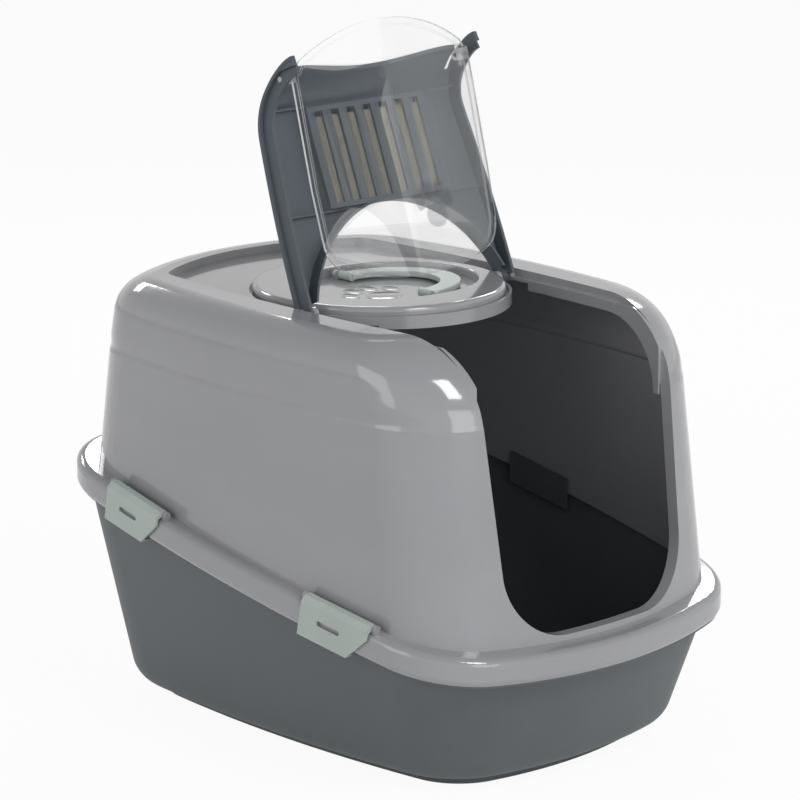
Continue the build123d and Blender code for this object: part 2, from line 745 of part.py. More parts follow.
with BuildPart() as shut_cover:
    add(cover_band(0, cover_wall))
    add(cover_block(cover_gap), mode=Mode.INTERSECT)
    # concave front edge, and room for the door's lugs at its ends
    with BuildSketch(Plane.XZ.offset(-hinge_y + cover_flat)):
        with BuildLine():
            low = hinge_z - edge_below
            curve = [(edge_half * across, low - edge_dip * drop)
                     for across, drop in ((0.0, 0.0), (0.41, 0.35), (0.62, 0.7),
                                          (0.83, 1.0), (1.0, 1.0))]
            Spline(*[(-x, z) for x, z in curve[:0:-1]], *curve)
            Polyline((-edge_half, low - edge_dip), (-edge_half, low - 60),
                     (edge_half, low - 60), (edge_half, low - edge_dip))
        make_face()
    extrude(amount=rim_width, mode=Mode.SUBTRACT)
    lug_slot = [(edge_half + cheek_inside) / 2, cheek_inside - edge_half]
    with BuildSketch(Plane.XY.offset(hood_top / 2)):
        with Locations((lug_slot[0], hinge_y - lug_slot_start),
                       (-lug_slot[0], hinge_y - lug_slot_start)):
            Rectangle(lug_slot[1], rim_width, align=(Align.CENTER, Align.MAX))
    extrude(amount=hood_top, mode=Mode.SUBTRACT)
    add(cover_flanges.part)
    add(cover_horns.part)
    add(cover_box(filter_half, filter_start, filter_end, -20, 5), mode=Mode.SUBTRACT)
    add(cover_pocket.part)
    add(pocket_rest.part)
    add(cover_ribs.part)
    add(cut_rim_ring.part)
    add(disc(collar_outer + collar_clear, -40, 40), mode=Mode.SUBTRACT)
    for place in range(slot_count):
        slot_x = (place - (slot_count - 1) / 2) * slot_pitch
        with BuildSketch(shut_plane.offset(slot_x - slot_width / 2)):
            Polygon((filter_start + pocket_ledge, 0), (filter_end - pocket_ledge, 0),
                    (filter_end - pocket_ledge, 20), (filter_start + pocket_ledge, 20),
                    align=None)
        extrude(amount=slot_width, mode=Mode.SUBTRACT)
    # hinge: barrels on the legs, with pins at both ends
    add(side_axle(ear_radius + ear_gap, leg_inside - 12.0, leg_inside, hinge_y, hinge_z),
        mode=Mode.SUBTRACT)
    add(side_axle(ear_radius + ear_gap, leg_outside, leg_outside + 12.0, hinge_y, hinge_z),
        mode=Mode.SUBTRACT)
    add(side_axle(barrel_radius, leg_inside, leg_outside, hinge_y, hinge_z))
    add(side_axle(pin_radius, leg_inside - pin_length, leg_outside + pin_length,
                  hinge_y, hinge_z))
    door_axis = shut_plane.from_local_coords((axis_along, axis_below, 0))
    add(side_axle(door_pin_radius + running_clearance, cheek_inside - 1.0, rim_width / 2,
                  door_axis.Y, door_axis.Z), mode=Mode.SUBTRACT)

top_cover = shut_cover.part.rotate(hinge_axis, -open_angle)
top_cover.label = "top_cover"
export_step(top_cover, "parts/top_cover.step")

# ================= filter =================
with BuildPart() as pad:
    add(cover_box(filter_half - pocket_ledge - filter_gap,
                  filter_start + pocket_ledge + filter_gap,
                  filter_end - pocket_ledge - filter_short,
                  pocket_floor - filter_gap - filter_thick, pocket_floor - filter_gap))
filter_pad = pad.part.rotate(hinge_axis, -open_angle)
filter_pad.label = "filter_pad"
export_step(filter_pad, "parts/filter_pad.step")

with BuildPart() as lid:
    add(cover_band(0, filter_wall))
    add(cover_box(filter_half - filter_gap, filter_start + filter_gap,
                  filter_end - filter_gap, -20, 20), mode=Mode.INTERSECT)
    for place in range(slot_count):
        slot_x = (place - (slot_count - 1) / 2) * slot_pitch
        with BuildSketch(shut_plane.offset(slot_x - vent_width / 2)):
            Polygon((filter_start + 3 * pocket_ledge, -20), (filter_end - 2 * pocket_ledge, -20),
                    (filter_end - 2 * pocket_ledge, 20), (filter_start + 3 * pocket_ledge, 20),
                    align=None)
        extrude(amount=vent_width, mode=Mode.SUBTRACT)
filter_cover = lid.part.rotate(hinge_axis, -open_angle)
filter_cover.label = "filter_cover"
export_step(filter_cover, "parts/filter_cover.step")

# ================= swing door =================
door_dy = door_axis.Y - hinge_y
door_dz = door_axis.Z - hinge_z
turn = radians(-open_angle)
door_y = hinge_y + door_dy * cos(turn) - door_dz * sin(turn)
door_z = hinge_z + door_dy * sin(turn) + door_dz * cos(turn)
lean = radians(door_lean)
forward = Vector(0, -cos(lean), sin(lean))
upward = Vector(0, sin(lean), cos(lean))
door_front = Plane(origin=(0, door_y, door_z), x_dir=(1, 0, 0), z_dir=tuple(forward))
door_plan = Plane(origin=(0, door_y, door_z), x_dir=(1, 0, 0), z_dir=tuple(upward))


def door_outline():
    """Draws the door seen from the front, with its axis through the origin."""
    top = lug_radius + 1.0
    Polyline((shoulder_half, shoulder_rise), (lug_inside, top), (sheet_half, top),
             (sheet_half, -sheet_side), (corner_half, -sheet_corner))
    ThreePointArc((corner_half, -sheet_corner), (0, -sheet_drop), (-corner_half, -sheet_corner))
    Polyline((-corner_half, -sheet_corner), (-sheet_half, -sheet_side), (-sheet_half, top),
             (-lug_inside, top), (-shoulder_half, shoulder_rise))
    ThreePointArc((-shoulder_half, shoulder_rise), (0, sheet_crown),
                  (shoulder_half, shoulder_rise))


def door_layer(near, far):
    """Bowed layer of the door between two distances from its middle surface."""
    reach = sheet_half + 4.0
    edge = sheet_offset
    crown = sheet_offset + sheet_bow
    with BuildPart() as layer:
        with BuildSketch(door_plan.offset(-sheet_drop - 5.0)):
            with BuildLine():
                ThreePointArc((-reach, -edge - near), (0, -crown - near), (reach, -edge - near))
                ThreePointArc((-reach, -edge - far), (0, -crown - far), (reach, -edge - far))
                Line((-reach, -edge - near), (-reach, -edge - far))
                Line((reach, -edge - near), (reach, -edge - far))
            make_face()
        extrude(amount=sheet_drop + sheet_crown + 10.0)
    return layer.part


with BuildPart() as swing_door:
    with BuildSketch(door_front) as door_shape:
        with BuildLine():
            door_outline()
        make_face()
        lower = door_shape.vertices().sort_by(Axis.Y)[:2]
        fillet(lower, sheet_round)
        upper = [v for v in door_shape.vertices() if abs(abs(v.X) - sheet_half) < 0.01]
        fillet(ShapeList(upper).sort_by(Axis.Y)[-2:], 2.0)
    extrude(amount=2 * sheet_bow + sheet_offset)
    add(door_layer(-sheet_wall / 2, sheet_wall / 2), mode=Mode.INTERSECT)
    with BuildSketch(door_front):
        add(offset(door_shape.sketch_local, -bead_inset, mode=Mode.PRIVATE))
        add(offset(door_shape.sketch_local, -bead_inset - bead_width, mode=Mode.PRIVATE),
            mode=Mode.SUBTRACT)
    bead = extrude(amount=2 * sheet_bow + sheet_offset, mode=Mode.PRIVATE)
    bead_layer = door_layer(-sheet_wall / 2 - bead_height, 0)
    add(bead & bead_layer)
    for side in (1, -1):
        with BuildSketch(Plane(origin=(side * lug_inside, door_y, door_z),
                               x_dir=tuple(forward), z_dir=(1, 0, 0))):
            Circle(lug_radius)
            Rectangle(sheet_offset + 1.4, 2 * lug_radius, align=(Align.MIN, Align.CENTER))
        extrude(amount=side * (sheet_half - lug_inside))
    add(side_axle(door_pin_radius + running_clearance, lug_inside - 2, sheet_half + 2,
                  door_y, door_z), mode=Mode.SUBTRACT)
swing_door.part.label = "swing_door"
export_step(swing_door.part, "parts/swing_door.step")

with BuildPart() as door_pins:
    add(side_axle(door_pin_radius, lug_inside + 0.2, cheek_inside + 2.6, door_y, door_z))
door_pins.part.label = "door_pins"
export_step(door_pins.part, "parts/door_pins.step")

# ================= clips =================
clip_names = {(-1, -1): "clip_front_left", (1, -1): "clip_front_right",
              (-1, 1): "clip_rear_left", (1, 1): "clip_rear_right"}
for (side, end), name in clip_names.items():
    thick = clip_gap + clip_thick
    with BuildPart() as clip:
        with BuildSketch(clip_plane(side, end, -clip_width / 2)):
            with BuildLine():
                low = hook_top - clip_thick
                axis_in = -clip_axis_in
                top = clip_axis_up + clip_barrel
                inner_top = skirt_depth + 1.0
                Polyline((axis_in, top), (-1.0, top - 0.6), (thick, inner_top + 0.6),
                         (thick, low), (-hook_reach, low), (-hook_reach, hook_top),
                         (clip_gap, hook_top), (clip_gap, inner_top - 1.6),
                         (-3.0, inner_top), (axis_in, inner_top), close=True)
            make_face()
        extrude(amount=clip_width)
        with BuildSketch(clip_plane(side, end, -clip_width / 2)):
            with Locations((axis_in, clip_axis_up)):
                Circle(clip_barrel)
        extrude(amount=clip_width)
        with BuildSketch(clip_plane(side, end, -clip_width / 2 - 2.8)):
            with Locations((axis_in, clip_axis_up)):
                Circle(clip_pin)
        extrude(amount=clip_width + 5.6)
        # slanted front edge and the finger slot, drawn on the clip's face
        with BuildSketch(clip_face(side, end)):
            front = -side * clip_width / 2
            foot = front + side * (clip_width - clip_foot)
            Polygon((front - side, slant_top), (front - side, low - 1), (foot, low - 1),
                    (foot, low), (front, slant_top), align=None)
            with Locations((side * (clip_width - clip_foot) / 4, skirt_depth / 2 + 1.0)):
                SlotOverall(clip_slot, clip_slot_width)
        extrude(amount=-12.0, mode=Mode.SUBTRACT)
    clip.part.label = name
    export_step(clip.part, "parts/" + name + ".step")
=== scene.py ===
"""Hooded litter box with a lift-up cover: the look of every piece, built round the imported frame."""
import json
from math import cos, radians, sin

import bpy
from bpy.props import FloatVectorProperty, PointerProperty
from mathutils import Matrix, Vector


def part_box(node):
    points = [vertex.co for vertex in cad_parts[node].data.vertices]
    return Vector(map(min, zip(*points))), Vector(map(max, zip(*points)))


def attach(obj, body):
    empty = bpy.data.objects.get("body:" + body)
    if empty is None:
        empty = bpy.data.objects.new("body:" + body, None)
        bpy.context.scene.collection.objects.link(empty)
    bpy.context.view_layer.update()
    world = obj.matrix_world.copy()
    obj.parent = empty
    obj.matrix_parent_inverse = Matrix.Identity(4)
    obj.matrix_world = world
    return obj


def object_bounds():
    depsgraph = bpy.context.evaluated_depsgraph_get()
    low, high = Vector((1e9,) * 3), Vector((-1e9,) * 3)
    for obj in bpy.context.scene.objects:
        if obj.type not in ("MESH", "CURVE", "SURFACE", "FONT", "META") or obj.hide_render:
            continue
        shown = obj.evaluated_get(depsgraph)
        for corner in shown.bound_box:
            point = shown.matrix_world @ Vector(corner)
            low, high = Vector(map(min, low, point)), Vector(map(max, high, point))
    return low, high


bl_info = {
    "name": "Hooded Litter Box",
    "version": (1, 0, 0),
    "blender": (4, 5, 0),
    "location": "3D View > Sidebar > Litter Box",
    "description": "Builds a hooded litter box with a lift-up cover and a clear swing door",
    "category": "Add Mesh",
}

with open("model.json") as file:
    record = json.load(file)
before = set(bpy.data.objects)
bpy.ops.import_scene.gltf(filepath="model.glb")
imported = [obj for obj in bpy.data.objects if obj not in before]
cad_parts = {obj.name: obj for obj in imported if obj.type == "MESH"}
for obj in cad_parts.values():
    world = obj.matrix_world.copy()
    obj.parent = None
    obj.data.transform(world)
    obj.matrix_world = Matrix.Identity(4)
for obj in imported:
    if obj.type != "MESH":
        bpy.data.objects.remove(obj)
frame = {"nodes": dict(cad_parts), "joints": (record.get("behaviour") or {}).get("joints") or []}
CAD_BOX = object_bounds()
NODES = frame["nodes"]
CLIPS = ("clip_front_left", "clip_front_right", "clip_rear_left", "clip_rear_right")
UP = Vector((0.0, 0.0, 1.0))
BACK = Vector((0.0, 1.0, 0.0))


# ---- the door, in metres: its axis is read from the frame, its section restates the solid ----
JOINTS = {joint["name"]: joint for joint in frame["joints"]}
DOOR_AXIS = Vector(JOINTS["door_hinge"]["pos_m"])
DOOR_LEAN = radians(14.7)
DOOR_FORWARD = Vector((0.0, -cos(DOOR_LEAN), sin(DOOR_LEAN)))
DOOR_UPWARD = Vector((0.0, sin(DOOR_LEAN), cos(DOOR_LEAN)))
DOOR_EDGE_OFF = 0.0095      # from the axis to the sheet at its side edges
DOOR_BOW = 0.013
DOOR_HALF = 0.102
DOOR_WALL = 0.0022
RIM_FACING = 0.6            # faces turned further to the front or back than this are left out
RIM_MERGE = 0.00001
RIM_LIFT = 0.00006
RIM_SMOOTH = radians(30.0)

# ---- low relief, in metres ----
# across, up, half width and half length of each pad of a paw, the large one first
PAW_PADS = ((0.0, 0.0, 0.0125, 0.0105), (-0.0175, 0.0125, 0.0052, 0.0072),
            (-0.0065, 0.0215, 0.0054, 0.0078), (0.0065, 0.0215, 0.0054, 0.0078),
            (0.0175, 0.0125, 0.0052, 0.0072))
BOWL_PAW = Vector((-0.012, 0.002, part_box("carry_handle")[0][2] - 0.0006))
BOWL_PAW_SCALE = 1.35
BOWL_PAW_HIGH = 0.0005
DOOR_PAW_ACROSS = 0.022     # the large pad's middle, from the middle of the door's axis
DOOR_PAW_UP = -0.132
DOOR_PAW_HIGH = 0.0004
PIN_HEAD = 0.0024           # radius of the pin ends on the cheeks
PIN_HEAD_HIGH = 0.0008
PIN_HEAD_SINK = 0.0002      # from the pin's end back to the foot of its head
PAD_SIDES = 36
PAD_BEVEL = 0.7             # share of a pad's height
PAD_BEVEL_STEPS = 3
PAD_SMOOTH = radians(40.0)

# ---- materials ----
WHITE = (1.0, 1.0, 1.0, 1.0)
NOISE_SPAN = (0.3, 0.7)     # where most values of a noise lie
PLASTIC_IOR = 1.5
CLEAR_IOR = 1.47
DOOR_ALPHA = 0.17
# cover of the pale band on the door's cut edges and raised line, a painted highlight
RIM_HIGHLIGHT_ALPHA = 0.8
# the paw on the clear door is coloured dark grey, painted shade of its low relief
DOOR_PAW_SHADE_ALPHA = 0.22
DOOR_PAW_SHADE_COLOUR = (0.16, 0.17, 0.18)
# the pads in the bowl take a darker share of the hood's colour, painted shade of their low relief
BOWL_PAW_SHADE = 0.8         # share of the hood's colour

# ---- stage ----
FLOOR_SIZE = 60.0
FLOOR_DROP = 0.0005
FLOOR_WHITES = ((0.88, 0.88, 0.88, 1.0), (0.9, 0.9, 0.9, 1.0))
FLOOR_GLOW = 0.94           # how far the floor's white stands in for its shading
GLOSSY_SHARE = 0.35         # how much of that glow the reflections see
WORLD_LIGHT = 0.8           # at the horizon
ZENITH_LIGHT = 0.2
SKY_SPAN = (0.15, 0.85)     # heights between which the one passes into the other
CAMERA_LENS = 167.34
CAMERA_SENSOR = 36.0
CAMERA_REACH = 100.0
CAMERA_PLACE = Vector((-2.14005, -2.23148, 1.01987))
CAMERA_AIM = Vector((0.003568, -0.001054, 0.274153))
# name, place, aim, size and power of each soft box
LAMPS = (
    ("key_window", (-0.10, -1.72, 1.95), (-0.13, -0.19, 0.34), (0.62, 0.85), 18.0),
    ("left_wall", (-3.0, 0.3, 1.3), (0.0, 0.0, 0.25), (1.8, 1.8), 16.0),
    ("front_fill", (-0.3, -3.2, 0.9), (0.0, 0.0, 0.15), (1.6, 1.2), 14.0),
    ("back_right_strip", (1.75, 1.2, 1.55), (-0.1, -0.2, 0.13), (1.5, 0.42), 14.0),
    ("back_strip", (0.45, 2.4, 1.6), (-0.15, 0.15, 0.37), (0.9, 0.35), 7.0),
)


# ---------------------------------------------------------------- modelling
def deselect():
    """Leaves nothing selected."""
    bpy.ops.object.select_all(action="DESELECT")


def seat(obj, body):
    """Puts a finished piece on its body."""
    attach(obj, body)


def oval_pad(half_width, half_length, high, centre, normal, upward):
    """Low oval pad with a rounded rim, standing on a surface."""
    deselect()
    bpy.ops.mesh.primitive_circle_add(vertices=PAD_SIDES, radius=1.0, fill_type="NGON")
    pad = bpy.context.object
    bpy.ops.object.mode_set(mode="EDIT")
    bpy.ops.mesh.select_all(action="SELECT")
    bpy.ops.transform.resize(value=(half_width, half_length, 1.0))
    bpy.ops.mesh.extrude_region_move(TRANSFORM_OT_translate={"value": (0.0, 0.0, high)})
    bpy.ops.mesh.bevel(offset=PAD_BEVEL * high, segments=PAD_BEVEL_STEPS, affect="EDGES")
    bpy.ops.mesh.select_all(action="SELECT")
    bpy.ops.mesh.normals_make_consistent(inside=False)
    bpy.ops.object.mode_set(mode="OBJECT")
    across = upward.cross(normal).normalized()
    turned = normal.cross(across)
    for vertex in pad.data.vertices:
        place = vertex.co.copy()
        vertex.co = centre + across * place.x + turned * place.y + normal * place.z
    return pad


def join(name, pieces):
    """Joins pieces into one, shaded smooth by angle."""
    deselect()
    for piece in pieces:
        piece.select_set(True)
    bpy.context.view_layer.objects.active = pieces[0]
    bpy.ops.object.join()
    bpy.ops.object.shade_smooth_by_angle(angle=PAD_SMOOTH)
    joined = bpy.context.object
    joined.name = name
    joined.data.name = name
    return joined


def door_surface(across, up):
    """Point and normal on the front of the bowed door, measured from its axis."""
    bulge = DOOR_EDGE_OFF + DOOR_BOW * (1.0 - (across / DOOR_HALF) ** 2) + DOOR_WALL / 2
    slope = 2.0 * DOOR_BOW * across / DOOR_HALF ** 2
    point = DOOR_AXIS + Vector((across, 0.0, 0.0)) + DOOR_FORWARD * bulge + DOOR_UPWARD * up
    return point, (DOOR_FORWARD + Vector((slope, 0.0, 0.0))).normalized()


def door_highlight_rim():
    """Open surface just outside the cut edges and the raised line of the door, coloured pale and
    nearly opaque as a painted highlight.
    """
    deselect()
    source = NODES["swing_door"]
    source.select_set(True)
    bpy.context.view_layer.objects.active = source
    bpy.ops.object.duplicate()
    rim = bpy.context.object
    rim.name = "door_highlight_rim"
    bpy.ops.object.mode_set(mode="EDIT")
    bpy.ops.mesh.select_all(action="SELECT")
    bpy.ops.mesh.remove_doubles(threshold=RIM_MERGE)
    # in vertex mode the faces picked below would lose their selection again
    bpy.ops.mesh.select_mode(type="FACE")
    bpy.ops.mesh.select_all(action="DESELECT")
    bpy.ops.object.mode_set(mode="OBJECT")
    for face in rim.data.polygons:
        face.select = abs(face.normal.dot(DOOR_FORWARD)) > RIM_FACING
    bpy.ops.object.mode_set(mode="EDIT")
    bpy.ops.mesh.delete(type="FACE")
    bpy.ops.mesh.select_mode(type="VERT")
    bpy.ops.mesh.select_all(action="SELECT")
    bpy.ops.transform.shrink_fatten(value=RIM_LIFT)
    bpy.ops.object.mode_set(mode="OBJECT")
    # the lift stays inside the box that the solids fill
    for vertex in rim.data.vertices:
        vertex.co.z = min(vertex.co.z, CAD_BOX[1][2])
    bpy.ops.object.shade_smooth_by_angle(angle=RIM_SMOOTH)
    return rim


# ---------------------------------------------------------------- materials
class Value:
    """A socket's output, for use in Python expressions."""

    def __init__(self, finish, socket):
        self.finish = finish
        self.socket = socket

    def _math(self, operation, first, second):
        return self.finish.node("ShaderNodeMath", {"operation": operation}, {0: first, 1: second})

    def __add__(self, other):
        return self._math("ADD", self, other)

    def __radd__(self, other):
        return self._math("ADD", other, self)

    def __sub__(self, other):
        return self._math("SUBTRACT", self, other)

    def __rsub__(self, other):
        return self._math("SUBTRACT", other, self)

    def __mul__(self, other):
        return self._math("MULTIPLY", self, other)

    def __rmul__(self, other):
        return self._math("MULTIPLY", other, self)


class Finish:
    """The nodes of a material or world, put together in code."""

    def __init__(self, owner, output="ShaderNodeOutputMaterial"):
        owner.use_nodes = True
        self.owner = owner
        self.tree = owner.node_tree
        self.tree.nodes.clear()
        self.output = self.tree.nodes.new(output)

    def node(self, kind, settings=None, inputs=None, out=0):
        """Adds a node: its settings or a ramp's stops first, then its values or links."""
        made = self.tree.nodes.new(kind)
        for key, value in (settings or {}).items():
            if key == "stops":
                ramp = made.color_ramp
                while len(ramp.elements) < len(value):
                    ramp.elements.new(0.5)
                for element, (place, colour) in zip(ramp.elements, value):
                    element.position = place
                    element.color = (*colour, 1.0)
            else:
                setattr(made, key, value)
        for key, value in (inputs or {}).items():
            if isinstance(value, Value):
                self.tree.links.new(value.socket, made.inputs[key])
            else:
                made.inputs[key].default_value = value
        return Value(self, made.outputs[out])

    def place(self):
        """Object coordinates, in metres."""
        return self.node("ShaderNodeTexCoord", out="Object")

    def noise(self, scale, detail=2.0, rough=0.5, stretch=(1.0, 1.0, 1.0)):
        """Noise between 0 and 1; scale is per metre."""
        where = self.node("ShaderNodeMapping", None, {"Vector": self.place(), "Scale": stretch})
        inputs = {"Vector": where, "Scale": scale, "Detail": detail, "Roughness": rough}
        return self.node("ShaderNodeTexNoise", None, inputs)

    def remap(self, value, span, to_low, to_high):
        """Maps a value from one range to another, clamped."""
        inputs = {"Value": value, "From Min": span[0], "From Max": span[1],
                  "To Min": to_low, "To Max": to_high}
        return self.node("ShaderNodeMapRange", {"clamp": True}, inputs)

    def blend(self, share, first, second):
        """Mixes two colours."""
        inputs = {"Factor": share, "A": first, "B": second}
        return self.node("ShaderNodeMix", {"data_type": "RGBA"}, inputs, out="Result")

    def rays(self, kind):
        """1 for rays of a kind, such as Camera, and 0 for the others."""
        return self.node("ShaderNodeLightPath", out=f"Is {kind} Ray")

    def bump(self, height, strength, distance):
        """Surface normal from a height."""
        inputs = {"Height": height, "Strength": strength, "Distance": distance}
        return self.node("ShaderNodeBump", None, inputs)

    def principled(self, inputs):
        """Finishes a material with a Principled surface."""
        return self.close(self.node("ShaderNodeBsdfPrincipled", None, inputs, out="BSDF"))

    def close(self, surface):
        """Leads a surface to the output."""
        self.tree.links.new(surface.socket, self.output.inputs["Surface"])
        return self.owner


def rgba(colour, factor=1.0):
    """Colour with alpha, scaled."""
    return (*(min(1.0, c * factor) for c in colour), 1.0)


def gloss_hood_plastic(name, colour):
    """Polished shell: faint clouds of tone, fine changes of gloss and a slight ripple."""
    finish = Finish(bpy.data.materials.new(name))
    flow = finish.noise(9.0, detail=3.0, rough=0.55, stretch=(1.0, 1.0, 2.2))
    tone = finish.blend(finish.remap(flow, NOISE_SPAN, 0.0, 1.0),
                        rgba(colour, 0.975), rgba(colour, 1.02))
    fine = finish.noise(420.0, detail=2.0, rough=0.6)
    rough = finish.remap(fine, NOISE_SPAN, 0.10, 0.15)
    ripple = finish.noise(30.0, detail=1.0, rough=0.4)
    normal = finish.bump(ripple, strength=0.04, distance=0.001)
    return finish.principled({"Base Color": tone, "Roughness": rough, "Normal": normal,
                              "IOR": PLASTIC_IOR, "Specular IOR Level": 0.5,
                              "Coat Weight": 0.6, "Coat Roughness": 0.03})


def satin_plastic(name, colour, rough_low, rough_high):
    """Moulded plastic with a fine grain and clouds of tone and gloss."""
    finish = Finish(bpy.data.materials.new(name))
    cloud = finish.noise(14.0, detail=3.0, rough=0.6)
    tone = finish.blend(finish.remap(cloud, NOISE_SPAN, 0.0, 1.0),
                        rgba(colour, 0.94), rgba(colour, 1.05))
    grain = finish.noise(900.0, detail=2.0, rough=0.6)
    rough = finish.remap(cloud, NOISE_SPAN, rough_low, rough_high)
    normal = finish.bump(grain, strength=0.35, distance=0.00025)
    return finish.principled({"Base Color": tone, "Roughness": rough, "Normal": normal,
                              "IOR": PLASTIC_IOR, "Specular IOR Level": 0.45})


def clear_plastic(name, colour, rough_low, rough_high, alpha):
    """Clear moulded sheet with faint smears; alpha is its cover where it is cleanest."""
    finish = Finish(bpy.data.materials.new(name))
    smear = finish.noise(22.0, detail=3.0, rough=0.6, stretch=(1.0, 1.0, 0.4))
    rough = finish.remap(smear, NOISE_SPAN, rough_low, rough_high)
    cover = finish.remap(smear, (0.4, 0.75), alpha, min(1.0, alpha + 0.04))
    return finish.principled({"Base Color": rgba(colour), "Roughness": rough, "Alpha": cover,
                              "IOR": CLEAR_IOR, "Transmission Weight": 1.0,
                              "Specular IOR Level": 0.5})


def highlight_and_shade_plastic(name, colour, alpha):
    """Clear plastic that covers more than the sheet, used for painted light: pale, as a painted
    highlight on cut edges and raised lines; dark, as painted shade on relief.
    """
    finish = Finish(bpy.data.materials.new(name))
    smear = finish.noise(60.0, detail=2.0, rough=0.5)
    tone = finish.blend(smear, rgba(colour, 0.92), rgba(colour))
    cover = finish.remap(smear, NOISE_SPAN, alpha * 0.9, alpha)
    return finish.principled({"Base Color": tone, "Roughness": 0.18, "Alpha": cover,
                              "IOR": CLEAR_IOR, "Specular IOR Level": 0.6})


def felt(name, colour):
    """Filter felt: matted short fibres."""
    finish = Finish(bpy.data.materials.new(name))
    fibre = finish.noise(1400.0, detail=4.0, rough=0.7, stretch=(1.0, 0.35, 1.0))
    clump = finish.noise(160.0, detail=3.0, rough=0.6)
    mix = finish.remap(fibre * 0.6 + clump * 0.4, (0.35, 0.65), 0.0, 1.0)
    tone = finish.blend(mix, rgba(colour, 0.75), rgba(colour, 1.2))
    normal = finish.bump(fibre + clump * 0.5, strength=0.8, distance=0.0012)
    return finish.principled({"Base Color": tone, "Roughness": 0.95, "Normal": normal,
                              "Specular IOR Level": 0.15})


def dress(obj, material):
    """Gives an object one material."""
    obj.data.materials.clear()
    obj.data.materials.append(material)


# ---------------------------------------------------------------- floor and light
def floor_paint():
    """White floor that glows for the camera, so that only a soft shadow shows on it."""
    finish = Finish(bpy.data.materials.new("floor_paint"))
    grain = finish.blend(finish.noise(3.0), *FLOOR_WHITES)
    white = finish.node("ShaderNodeBsdfDiffuse", None, {"Color": grain})
    glow = finish.node("ShaderNodeEmission", None, {"Color": WHITE, "Strength": 1.0})
    seen = (finish.rays("Camera") + finish.rays("Transmission")
            + finish.rays("Glossy") * GLOSSY_SHARE) * FLOOR_GLOW
    return finish.close(finish.node("ShaderNodeMixShader", None, {0: seen, 1: white, 2: glow}))


def light_world(scene):
    """White surroundings: plain white to the camera, dimmer towards the zenith as light."""
    finish = Finish(bpy.data.worlds.new("studio"), "ShaderNodeOutputWorld")
    seen = finish.node("ShaderNodeMath", {"operation": "MAXIMUM"},
                       {0: finish.rays("Camera"), 1: finish.rays("Transmission")})
    way = finish.node("ShaderNodeTexCoord", out="Generated")
    height = finish.node("ShaderNodeSeparateXYZ", None, {"Vector": way}, out="Z")
    sky = finish.remap(height, SKY_SPAN, WORLD_LIGHT, ZENITH_LIGHT)
    strength = finish.remap(seen, (0.0, 1.0), sky, 1.0)
    inputs = {"Color": WHITE, "Strength": strength}
    scene.world = finish.close(finish.node("ShaderNodeBackground", None, inputs))


def stand(scene, name, data, place, aim):
    """Puts a lamp or camera at its place, turned to its aim."""
    obj = bpy.data.objects.new(name, data)
    obj.location = place
    obj.rotation_mode = "QUATERNION"
    obj.rotation_quaternion = (Vector(aim) - Vector(place)).to_track_quat("-Z", "Y")
    scene.collection.objects.link(obj)
    return obj


# ---------------------------------------------------------------- settings
class BoxColours(bpy.types.PropertyGroup):
    """Colours of the litter box."""

    hood: FloatVectorProperty(name="Hood", description="Hood and handle plate", subtype="COLOR",
                              default=(0.315, 0.318, 0.332), min=0.0, max=1.0)
    tray: FloatVectorProperty(name="Tray", description="Litter tray", subtype="COLOR",
                              default=(0.105, 0.118, 0.125), min=0.0, max=1.0)
    cover: FloatVectorProperty(name="Cover", description="Top cover", subtype="COLOR",
                               default=(0.083, 0.098, 0.114), min=0.0, max=1.0)
    trim: FloatVectorProperty(name="Trim", description="Clips and carrying handle",
                              subtype="COLOR", default=(0.43, 0.49, 0.46), min=0.0, max=1.0)
    clear: FloatVectorProperty(name="Door", description="Clear swing door", subtype="COLOR",
                               default=(0.95, 0.96, 0.96), min=0.0, max=1.0)
    filter: FloatVectorProperty(name="Filter", description="Felt of the odour filter",
                                subtype="COLOR", default=(0.26, 0.245, 0.2), min=0.0, max=1.0)


# ---------------------------------------------------------------- operators
class LITTERBOX_OT_stage(bpy.types.Operator):
    """Floor, light and camera"""

    bl_idname = "litterbox.stage"
    bl_label = "Stage"

    def execute(self, context):
        scene = context.scene
        scene.view_settings.view_transform = "Standard"
        deselect()
        bpy.ops.mesh.primitive_plane_add(size=FLOOR_SIZE, location=(0, 0, -FLOOR_DROP))
        floor = context.object
        floor.name = "floor"
        bpy.ops.object.transform_apply(location=True)
        dress(floor, floor_paint())
        light_world(scene)
        for name, place, aim, size, power in LAMPS:
            lamp = bpy.data.lights.new(name, "AREA")
            lamp.shape = "RECTANGLE"
            lamp.size, lamp.size_y = size
            lamp.energy = power
            stand(scene, name, lamp, place, aim)
        camera = bpy.data.cameras.new("camera")
        camera.lens = CAMERA_LENS
        camera.sensor_width = CAMERA_SENSOR
        camera.clip_end = CAMERA_REACH
        scene.camera = stand(scene, "camera", camera, CAMERA_PLACE, CAMERA_AIM)
        return {"FINISHED"}


class LITTERBOX_OT_shell(bpy.types.Operator):
    """Tray, hood and handle plate"""

    bl_idname = "litterbox.shell"
    bl_label = "Shell"

    def execute(self, context):
        colours = context.scene.litterbox_colours
        dress(NODES["hood"], gloss_hood_plastic("hood_plastic", colours.hood))
        dress(NODES["handle_plate"], gloss_hood_plastic("plate_plastic", colours.hood))
        dress(NODES["tray"], satin_plastic("tray_plastic", colours.tray, 0.42, 0.5))
        scale = BOWL_PAW_SCALE
        paw = []
        for across, up, half_width, half_length in PAW_PADS:
            centre = BOWL_PAW + Vector((scale * across, scale * up, 0.0))
            paw.append(oval_pad(scale * half_width, scale * half_length, BOWL_PAW_HIGH,
                                centre, UP, BACK))
        bowl_paw = join("bowl_paw", paw)
        # the darker tone of the pads is painted shade of the relief
        paw_shade_colour = [BOWL_PAW_SHADE * c for c in colours.hood]
        dress(bowl_paw, gloss_hood_plastic("paw_shade_paint", paw_shade_colour))
        seat(bowl_paw, "shell")
        return {"FINISHED"}


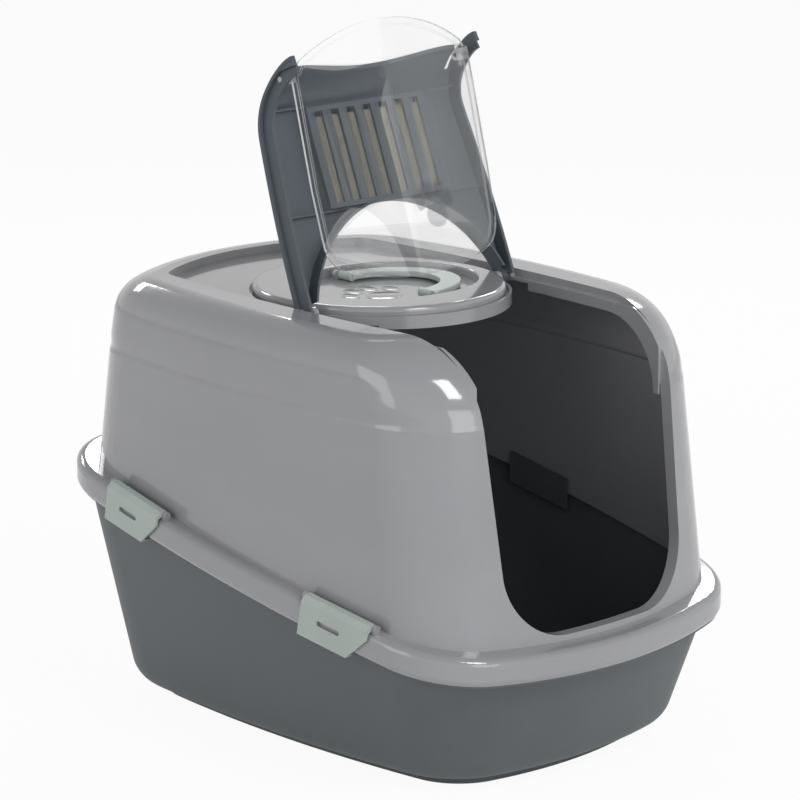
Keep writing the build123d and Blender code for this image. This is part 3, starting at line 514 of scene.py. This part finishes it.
class LITTERBOX_OT_cover(bpy.types.Operator):
    """Top cover with its filter and the door's pins"""

    bl_idname = "litterbox.cover"
    bl_label = "Top Cover"

    def execute(self, context):
        colours = context.scene.litterbox_colours
        plastic = satin_plastic("cover_plastic", colours.cover, 0.36, 0.44)
        for name in ("top_cover", "filter_cover", "door_pins"):
            dress(NODES[name], plastic)
        dress(NODES["filter_pad"], felt("filter_felt", colours.filter))
        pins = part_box("door_pins")
        heads = []
        for side in (-1.0, 1.0):
            cheek = pins[0][0] if side < 0 else pins[1][0]
            centre = Vector((cheek - side * PIN_HEAD_SINK, DOOR_AXIS.y, DOOR_AXIS.z))
            heads.append(oval_pad(PIN_HEAD, PIN_HEAD, PIN_HEAD_HIGH, centre,
                                  Vector((side, 0.0, 0.0)), UP))
        pin_heads = join("pin_heads", heads)
        dress(pin_heads, satin_plastic("pin_plastic", colours.trim, 0.3, 0.36))
        seat(pin_heads, "cover")
        return {"FINISHED"}


class LITTERBOX_OT_door(bpy.types.Operator):
    """Clear swing door"""

    bl_idname = "litterbox.door"
    bl_label = "Swing Door"

    def execute(self, context):
        colour = context.scene.litterbox_colours.clear
        sheet = clear_plastic("door_plastic", colour, 0.01, 0.03, DOOR_ALPHA)
        dress(NODES["swing_door"], sheet)
        # the pale rim is a painted highlight along the door's cut edges and raised line
        rim = door_highlight_rim()
        dress(rim, highlight_and_shade_plastic("door_highlight_rim_plastic", colour, RIM_HIGHLIGHT_ALPHA))
        seat(rim, "door")
        paw = []
        for across, up, half_width, half_length in PAW_PADS:
            point, normal = door_surface(DOOR_PAW_ACROSS + across, DOOR_PAW_UP + up)
            paw.append(oval_pad(half_width, half_length, DOOR_PAW_HIGH, point, normal,
                                DOOR_UPWARD))
        door_paw = join("door_paw", paw)
        # the dark grey on the clear paw is painted shade of the relief
        dress(door_paw, highlight_and_shade_plastic("door_paw_shade_paint", DOOR_PAW_SHADE_COLOUR, DOOR_PAW_SHADE_ALPHA))
        seat(door_paw, "door")
        return {"FINISHED"}


class LITTERBOX_OT_trim(bpy.types.Operator):
    """Clips and carrying handle"""

    bl_idname = "litterbox.trim"
    bl_label = "Clips and Handle"

    def execute(self, context):
        plastic = satin_plastic("trim_plastic", context.scene.litterbox_colours.trim, 0.34, 0.42)
        for name in (*CLIPS, "carry_handle"):
            dress(NODES[name], plastic)
        return {"FINISHED"}


class LITTERBOX_PT_panel(bpy.types.Panel):
    """Lists the colours and the operators that build the litter box"""

    bl_idname = "LITTERBOX_PT_panel"
    bl_label = "Litter Box"
    bl_space_type = "VIEW_3D"
    bl_region_type = "UI"
    bl_category = "Litter Box"

    def draw(self, context):
        for name in BoxColours.__annotations__:
            self.layout.prop(context.scene.litterbox_colours, name)
        for operator in OPERATORS:
            self.layout.operator(operator.bl_idname)


OPERATORS = (LITTERBOX_OT_stage, LITTERBOX_OT_shell, LITTERBOX_OT_cover, LITTERBOX_OT_door,
             LITTERBOX_OT_trim)
CLASSES = (BoxColours, *OPERATORS, LITTERBOX_PT_panel)


def register():
    """Registers the settings, operators and panel."""
    for cls in CLASSES:
        bpy.utils.register_class(cls)
    bpy.types.Scene.litterbox_colours = PointerProperty(type=BoxColours)


def unregister():
    """Removes them again."""
    del bpy.types.Scene.litterbox_colours
    for cls in reversed(CLASSES):
        bpy.utils.unregister_class(cls)


def main():
    """Builds the whole litter box."""
    register()
    bpy.ops.litterbox.stage()
    bpy.ops.litterbox.shell()
    bpy.ops.litterbox.cover()
    bpy.ops.litterbox.door()
    bpy.ops.litterbox.trim()


if __name__ == "__main__":
    main()
